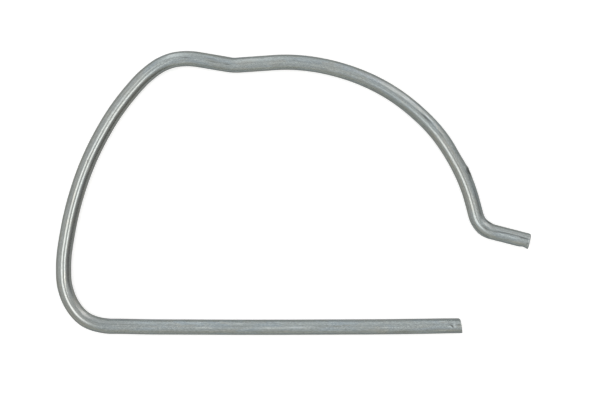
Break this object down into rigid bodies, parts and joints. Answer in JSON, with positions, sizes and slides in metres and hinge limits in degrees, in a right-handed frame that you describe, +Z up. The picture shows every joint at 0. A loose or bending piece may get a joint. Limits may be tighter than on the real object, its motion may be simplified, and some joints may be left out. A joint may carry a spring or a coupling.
{
  "type": "retaining clip",
  "caption": "Spring wire retaining clip: a straight leg that passes through a cross hole, and a bowed arm with a shallow dip and a short turned-out toe that springs round the pin or tube.",
  "frame": {"origin": "under the middle of the clip's outline, on the surface that the clip lies on", "axes": "+X along the leg towards its free end, +Y from the leg towards the bow, +Z up from the surface"},
  "size_m": [0.0934, 0.0558, 0.003],
  "materials": {
    "plated_wire": "zinc-plated drawn spring steel wire, satin, with fine lines along its length"
  },
  "bodies": {
    "root": {"wire_clip": "plated_wire"}
  },
  "joints": []
}
